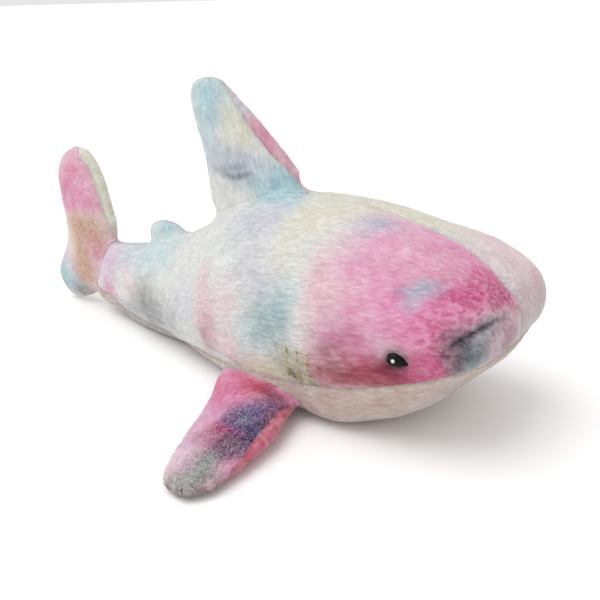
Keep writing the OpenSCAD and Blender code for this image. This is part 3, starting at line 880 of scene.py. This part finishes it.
def panel(name, faces, rest, final, out, pile_height, shade):
    """One panel's mesh: its faces of the skin, and a hem turned in at every edge."""
    used, local = np.unique(faces, return_inverse=True)
    local = local.reshape(faces.shape)
    co, base, way = final[used], rest[used], out[used]
    edges = np.concatenate([local[:, [k, (k + 1) % 4]] for k in range(4)])
    _, which, uses = np.unique(edge_keys(edges, len(co)), return_inverse=True, return_counts=True)
    alone = uses[which] == 1
    rim, rim_centre = edges[alone], np.tile(co[local].mean(1), (4, 1))[alone]
    rim_verts, rim_local = np.unique(rim, return_inverse=True)
    rim_local = rim_local.reshape(rim.shape)
    lean = np.zeros((len(rim_verts), 3))
    for side in (0, 1):
        np.add.at(lean, rim_local[:, side], rim_centre - co[rim[:, side]])
    lean /= np.maximum(norm(lean, axis=1, keepdims=True), 1e-9)
    inner = co[rim_verts] - way[rim_verts] * HEM + lean * 0.0012
    n = len(co)
    hem = np.stack([rim[:, 1], rim[:, 0], rim_local[:, 0] + n, rim_local[:, 1] + n], 1)
    points = np.concatenate([co, inner])
    rests = np.concatenate([base, base[rim_verts]])
    ob = new_object(name, points.tolist(), np.concatenate([local, hem]).tolist())
    mesh = ob.data
    height = pile_height[used]
    height = np.concatenate([height, height[rim_verts] * 0])
    put_attribute(mesh, "pile", "FLOAT", height)
    put_attribute(mesh, "frost", "FLOAT", shag(rests)[1] * ("lower" not in name))
    put_attribute(mesh, "grain", "FLOAT_VECTOR", combed(rests, name))
    # The painted shade of seams, eyes and creases darkens the colour here.
    depth = np.concatenate([shade[used], shade[used][rim_verts]])
    put_attribute(mesh, "dye_and_painted_shade", "FLOAT_COLOR", dye_and_painted_shade(rests, SKIN[name][1]) * (1 - depth[:, None]))
    uv = texture_places(rests, name)
    layer = mesh.uv_layers.new(name="OFBake")
    loops = field_of(mesh.loops, "vertex_index", kind=np.int32)
    layer.data.foreach_set("uv", uv[loops].astype(np.float32).ravel())
    ends = field_of(mesh.edges, "vertices", 2, np.int32)
    sharp = np.isin(edge_keys(ends, len(points)), edge_keys(rim, len(points)))
    mesh.attributes.new("sharp_edge", "BOOLEAN", "EDGE").data.foreach_set("value", sharp)
    smooth_shaded(mesh)
    return ob


def wrapped(near, p):
    """Distances to the panels with each fin's far panel brought round its leading edge, as it is sewn."""
    near = near.copy()
    dorsal = smooth((p[:, 2] - 240) / 50) * smooth((p[:, 0] - 38 + (p[:, 2] - 236) * 0.52) / 12)
    dorsal *= smooth((378 - p[:, 2]) / 60)
    tail_fin = smooth((p[:, 2] - 125) / 40) * smooth((p[:, 0] + 306) / 12)
    out = np.abs(p[:, 1])
    pectoral = smooth((out - 120) / 30) * smooth((272 - out) / 80) * smooth((p[:, 0] - 146) / 12)
    under = smooth((110 - p[:, 0]) / 90) * smooth((p[:, 0] + 240) / 40)
    for name, over, amount in (
        ("right_side", under * (p[:, 2] < 90), WRAP),
        ("left_side", under * (p[:, 2] < 90), WRAP),
        ("left_dorsal", dorsal, WRAP),
        ("left_tail_fin", tail_fin, WRAP),
        ("right_pectoral_lower", pectoral, WRAP),
        ("left_pectoral_lower", pectoral, WRAP),
    ):
        near[:, NAMES.index(name)] -= over * amount
    return near


BODY_PANELS = [NAMES.index(n) for n in ("right_side", "left_side", "belly")]
# Half widths of a seam's groove and of the broad dip around it, and how near to a seam the cloth is held, in
# metres; how strong the painted shade in a seam's groove is; how deep an eye sinks, in millimetres, and how
# strong the painted shade in the pile around it is.
SEAM_GROOVE, SEAM_DIP, PINNED, SEAM_SHADE = 0.0032, 0.012, 0.004, 0.14
EYE_SINK, EYE_SHADE = 4.0, 0.5
# How far the skin stays above the floor, and over what height its underside is flattened.
REST_GAP, FLATTEN = 0.0006, 0.003


def skin():
    """The panels' meshes by name: the whole shape, swollen, refined, raised by its pile and cut apart."""
    ob = whole_shape()
    near = distances(coords(ob.data))
    puffed(ob, seam_distance(near) < PINNED)
    for i in range(len(NAMES)):
        put_attribute(ob.data, f"near_{i}", "FLOAT", near[:, i])
    fine = ob.modifiers.new("fine", "SUBSURF")
    fine.levels = FINE_LEVELS
    evaluated(ob)
    mesh = ob.data
    near = np.empty((len(mesh.vertices), len(NAMES)), np.float32)
    for i in range(len(NAMES)):
        near[:, i] = field_of(mesh.attributes[f"near_{i}"].data, "value")
    rest, out = coords(mesh), normals(mesh)
    faces = field_of(mesh.loops, "vertex_index", kind=np.int32).reshape(-1, 4)
    p = rest * 1000
    near = wrapped(near, p)
    seam = seam_distance(near)
    on_body = np.isin(near.argmin(1), BODY_PANELS)
    depth = np.where(on_body, 2.4, 1.6) * bell(seam, SEAM_GROOVE)
    depth += np.where(on_body, 0.9, 0.0) * bell(seam, SEAM_DIP)
    for points, deep, half, _ in CREASES:
        depth += deep * bell(line_distance(p, points), half)
    from_eyes = [norm(p - eye * 1000, axis=1) for eye in EYES]
    for away in from_eyes:
        depth += EYE_SINK * bell(away, 16)
    for centre, reach, push in SHAPING:
        d = norm((p - centre) / np.array(reach), axis=1)
        depth -= push * smooth((1.3 - d) / 1.2)
    lumps = noise(rest, 0.09, 81) * 1.2 + noise(rest, 0.045, 82) * 0.6
    grain = np.zeros_like(rest)
    label = near.argmin(1)
    for i, name in enumerate(NAMES):
        mine = label == i
        grain[mine] = combed(rest[mine], name)
    height = pile(rest, grain)
    bare = np.ones(len(rest))
    for away in from_eyes:
        bare *= 1 - smooth((20 - away) / 8)
    reach = (2.3 + 1.8 * shag(rest)[0]) * (0.25 + 0.75 * bare)
    body = near[:, BODY_PANELS].min(1)
    rise = 2.6 + 1.2 * smooth(body / 0.02) + lumps - depth + reach * (height - 0.45)
    # Painted shade laid into the colour: in the seams' grooves, in the pile round the eyes and inside the
    # creases.
    shade = SEAM_SHADE * bell(seam, 0.0022)
    for away in from_eyes:
        shade = np.maximum(shade, EYE_SHADE * np.exp(-((away / 15) ** 4)))
    for points, _, half, dark in CREASES:
        shade = np.maximum(shade, dark * bell(line_distance(p, points), half))
    final = rest + out * rise[:, None] / 1000
    low = final[:, 2] < REST_GAP + FLATTEN
    final[low, 2] = REST_GAP + FLATTEN * np.exp((final[low, 2] - REST_GAP - FLATTEN) / FLATTEN)
    face_label = near[faces].mean(1).argmin(1)
    made = {}
    for i, name in enumerate(NAMES):
        made[name] = panel(name, faces[face_label == i], rest, final, out, height, shade)
    bpy.data.objects.remove(ob)
    return made


# Eyes: where they sit, from the CAD nodes.
def eye_centre(node):
    low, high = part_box(node)
    outer = low.y if "right" in node else high.y
    vertices = np.array([v.co for v in nodes[node].data.vertices])
    face = vertices[np.abs(vertices[:, 1] - outer) < 0.004]
    return (face.min(0) + face.max(0)) / 2


EYES = [eye_centre("right_eye"), eye_centre("left_eye")]

dyed, white = plush("dyed_plush"), plush("white_plush")
panels = skin()
for name, ob in panels.items():
    covered, cut, (body_a, body_b, start, end), slot = SKIN[name]
    ob.data.materials.append(white if slot == "white_plush" else dyed)
    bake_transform(ob)
    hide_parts(*covered)


def eye_frame(node):
    """Where a CAD eye's stem meets the cloth, and its forward, upward and outward directions."""
    centre = eye_centre(node)
    vertices = np.array([v.co for v in nodes[node].data.vertices])
    away = norm(vertices - centre, axis=1)
    stem = vertices[norm(vertices - vertices[away.argmax()], axis=1) < 0.006].mean(0)
    dome = vertices[norm(vertices - stem, axis=1) > STEM_LENGTH - 0.001].mean(0)
    outward = Vector(dome - stem).normalized()
    side = -1 if "right" in node else 1
    level = Vector((1, 0, math.tan(EYE_TILT)))
    forward = (level - outward * level.dot(outward)).normalized()
    return Vector(stem) + outward * STEM_LENGTH, forward, forward.cross(outward) * side, outward


# The eye's length, height, and the levels of its top and of its rim above the cloth, in metres.
EYE_LENGTH, EYE_HEIGHT, EYE_TOP, EYE_BASE = 0.0255, 0.0156, 0.0066, 0.0008
EYE_TILT, STEM_LENGTH, STEM_RADIUS = math.radians(-8), 0.020, 0.0025
EYE_SIDES, EYE_RINGS = 64, 14


def moulded_eye(node):
    """A dome with a round rear and a pointed front corner, a rolled rim, a flat back and a stem."""
    origin, forward, upward, outward = eye_frame(node)
    angles = 2 * math.pi * np.arange(EYE_SIDES) / EYE_SIDES
    u = np.cos(angles)
    half = (1 - u) ** 0.9 * (1 + u) ** 0.45 / 1.08
    rim = np.stack([u * EYE_LENGTH / 2, np.sign(np.sin(angles)) * half * EYE_HEIGHT / 2], 1)
    rim[np.abs(np.sin(angles)) < 1e-6, 1] = 0
    middle = np.array([-0.1 * EYE_LENGTH, 0])
    rings = []
    for k in range(EYE_RINGS, 0, -1):
        share = k / EYE_RINGS
        lift = EYE_BASE + (EYE_TOP - EYE_BASE) * (1 - share**2.2) ** 0.62
        rings.append((middle + (rim - middle) * share, lift))
    under = [(middle + (rim - middle) * k, EYE_BASE - drop) for k, drop in ((0.97, 0.0010), (0.80, 0.0016))]
    circle = np.stack([np.cos(angles), np.sin(angles)], 1) * STEM_RADIUS
    stem = [(circle, EYE_BASE - 0.0018), (circle, -STEM_LENGTH + 0.0006), (circle * 0.8, -STEM_LENGTH)]
    order = stem[::-1] + under[::-1] + rings
    vertices = []
    for flat, lift in order:
        vertices += [origin + forward * a + upward * b + outward * lift for a, b in flat]
    n = EYE_SIDES
    faces = ring_faces(0, len(order), n)
    faces.append(tuple(range(n))[::-1])
    top = len(vertices)
    vertices.append(origin + forward * middle[0] + outward * EYE_TOP)
    last = (len(order) - 1) * n
    faces += [(last + j, last + (j + 1) % n, top) for j in range(n)]
    ob = new_object(node.replace("_eye", "_moulded_eye"), vertices, faces)
    bm = bmesh.new()
    bm.from_mesh(ob.data)
    bmesh.ops.recalc_face_normals(bm, faces=bm.faces)
    bm.to_mesh(ob.data)
    bm.free()
    smooth_shaded(ob.data)
    # Where the painted highlight sits on the dome.
    highlight = origin + forward * (-0.15 * EYE_LENGTH) + upward * 0.0008 + outward * EYE_TOP
    return ob, highlight


moulded = {node: moulded_eye(node) for node in ("right_eye", "left_eye")}
eye_black = eye_plastic([highlight_centre for _, highlight_centre in moulded.values()])
for node, (ob, _) in moulded.items():
    ob.data.materials.append(eye_black)
    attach(ob, "trunk")
    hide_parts(node)

# Gill marks: short satin stitches in a few shades of thread, laid over the pile in three rows.
GILL_ROWS, GILL_STITCHES = 3, 15
THREAD, THREAD_SIDES, THREAD_RINGS = 0.0009, 8, 7
THREAD_SHADES = [rgb(176, 170, 124), rgb(192, 186, 146), rgb(150, 138, 96)]


def gill_stitches(node):
    """Short tubes over the finished skin, within the box of the CAD stitches; ends dip into the pile."""
    low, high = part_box(node)
    side = -1 if "right" in node else 1
    cloth = panels[node.split("_")[0] + "_side"].data
    points, polygons = [v.co for v in cloth.vertices], [tuple(f.vertices) for f in cloth.polygons]
    surface = BVHTree.FromPolygons(points, polygons)
    vertices, faces, shades = [], [], []
    for row in range(GILL_ROWS):
        x = low.x + 0.002 + (high.x - low.x - 0.004) * row / (GILL_ROWS - 1)
        for k in range(GILL_STITCHES):
            pick = lattice(np.array([[row, k, 5 + side]]), 7)[0]
            z = low.z + 0.007 + (high.z - low.z - 0.004) * k / GILL_STITCHES + 0.001 * pick
            path = []
            for t in np.linspace(-1, 1, THREAD_RINGS):
                place = Vector((x + 0.0028 * t + 0.0012 * (pick - 0.5), side * 0.2, z - 0.0008 * t))
                hit, normal, _, _ = surface.ray_cast(place, Vector((0, -side, 0)))
                if hit is not None:
                    path.append(hit + normal * (0.0005 - 0.0020 * t * t))
            if len(path) < THREAD_RINGS:
                continue
            start, n, last = len(vertices), THREAD_SIDES, THREAD_RINGS - 1
            for i, point in enumerate(path):
                along = (path[min(i + 1, last)] - path[max(i - 1, 0)]).normalized()
                across = along.cross(Vector((0, side, 0))).normalized()
                over = across.cross(along)
                width = THREAD * (0.55 if i in (0, last) else 1)
                for j in range(n):
                    a = 2 * math.pi * j / n
                    vertices.append(point + (across * math.cos(a) + over * (0.8 * math.sin(a))) * width)
            faces += [f[::-1] for f in ring_faces(start, THREAD_RINGS, n)]
            faces.append([start + j for j in range(n)][::-1])
            faces.append([start + last * n + j for j in range(n)])
            shades += [THREAD_SHADES[int(pick * 2.99)]] * (n * THREAD_RINGS)
    ob = new_object(node.replace("stitches", "threads"), vertices, faces)
    put_attribute(ob.data, "dye_and_painted_shade", "FLOAT_COLOR", np.array(shades))
    smooth_shaded(ob.data)
    return ob


gill_thread = thread()
for node in ("right_gill_stitches", "left_gill_stitches"):
    ob = gill_stitches(node)
    ob.data.materials.append(gill_thread)
    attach(ob, "trunk")
    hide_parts(node)

# Filling: lumpy fibre inside each part of the skin.
FILLINGS = {"body_filling": [["trunk_stuffing", "tail_stuffing"], TAIL]}
for part, bend in (
    ("dorsal", DORSAL),
    ("rear_dorsal", REAR_DORSAL),
    ("tail_fin", TAIL_FIN),
    ("right_pectoral", RIGHT_PECTORAL),
    ("left_pectoral", LEFT_PECTORAL),
):
    FILLINGS[part + "_filling"] = [[part + "_stuffing"], bend]
FILLING_VOXEL, BODY_COARSER, BRIDGE_SHRINK = 0.004, 1.6, 0.9


def filling(name, stuffed):
    """The CAD stuffing as one mesh with a clumped surface, bridged from trunk to tail where it has both."""
    parts, voxel = [cad_mesh(n) for n in stuffed], FILLING_VOXEL
    if len(stuffed) > 1:
        tube, tube_faces = bridge()
        middle, k = AXIS_HEIGHT, BRIDGE_SHRINK
        parts.append(([(x, y * k, middle + (z - middle) * k) for x, y, z in tube], tube_faces))
        voxel *= BODY_COARSER
    ob, co = remeshed(name, parts, voxel, 4)
    set_coords(ob.data, co)
    lumps = 0.6 * smooth(cells(co, 0.022, 101)) + 0.4 * (0.5 + 0.5 * noise(co, 0.009, 102))
    set_coords(ob.data, co - normals(ob.data) * (0.0035 * lumps[:, None]))
    put_attribute(ob.data, "grain", "FLOAT_VECTOR", coords(ob.data))
    smooth_shaded(ob.data)
    return ob


fibre = fibre_filling()
for name, (stuffed, (body_a, body_b, start, end)) in FILLINGS.items():
    ob = filling(name, stuffed)
    ob.data.materials.append(fibre)
    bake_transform(ob)
    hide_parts(*stuffed)

washer = washer_plastic()
for node in ("right_eye_washer", "left_eye_washer"):
    nodes[node].data.materials.clear()
    nodes[node].data.materials.append(washer)


# Floor, light and camera.
def floor_material():
    m, tree, shader = material("studio_floor")
    where = object_position(tree)
    cloud = noise_node(tree, where, 3, 2.0, 0.5)
    colour = ramped(tree, cloud, (0.955, 0.955, 0.95), (0.975, 0.975, 0.97))
    fed(tree, shader, {"Base Color": colour, "Roughness": 0.9})
    return m


def wide_floor():
    """A pale sheet that reaches the horizon, in rings so that it has no long thin faces near the object."""
    radii, sides = [0.5, 1, 2, 4, 8, 16, 32, 64], 48
    vertices = [(0, 0, 0)]
    for r in radii:
        turns = [2 * math.pi * j / sides for j in range(sides)]
        vertices += [(r * math.cos(turn), r * math.sin(turn), 0) for turn in turns]
    faces = [(0, 1 + j, 1 + (j + 1) % sides) for j in range(sides)] + ring_faces(1, len(radii), sides)
    return new_object("studio_floor", vertices, faces)


floor_sheet = wide_floor()
floor_sheet.data.materials.append(floor_material())

world = bpy.data.worlds.new("studio")
scene.world = world
world.use_nodes = True
world.node_tree.nodes["Background"].inputs["Color"].default_value = (1, 1, 1, 1)
world.node_tree.nodes["Background"].inputs["Strength"].default_value = 0.80

key_light = bpy.data.lights.new("key", "SUN")
key_light.energy, key_light.angle = 1.35, math.radians(50)
side_light = bpy.data.lights.new("side", "AREA")
side_light.shape, side_light.size, side_light.energy = "DISK", 1.2, 3
SIDE_PLACE, SIDE_TARGET = Vector((-1.4, -1.6, 0.9)), Vector((0, 0, 0.1))
for light, place, way in (
    (key_light, Vector((0, 0, 0)), Vector((0.7, 0.5, -1.9))),
    (side_light, SIDE_PLACE, SIDE_TARGET - SIDE_PLACE),
):
    ob = linked(light.name, light)
    ob.location = place
    ob.rotation_euler = way.to_track_quat("-Z", "Y").to_euler()

AZIMUTH, ELEVATION, ROLL = math.radians(35.5), math.radians(22.9), math.radians(-1.4)
TARGET, DISTANCE = Vector((-0.0017, 0.1505, 0.0206)), 1.161
SENSOR, FOCAL = 36.0, 43.7
level = math.cos(ELEVATION)
back = Vector((math.sin(AZIMUTH) * level, -math.cos(AZIMUTH) * level, math.sin(ELEVATION)))
camera = linked("camera", bpy.data.cameras.new("camera"))
camera.data.sensor_width, camera.data.lens = SENSOR, FOCAL
camera.location = TARGET + back * DISTANCE
camera.rotation_mode = "QUATERNION"
camera.rotation_quaternion = (-back).to_track_quat("-Z", "Y") @ Euler((0, 0, ROLL)).to_quaternion()
scene.camera = camera
scene.view_settings.view_transform = "Standard"
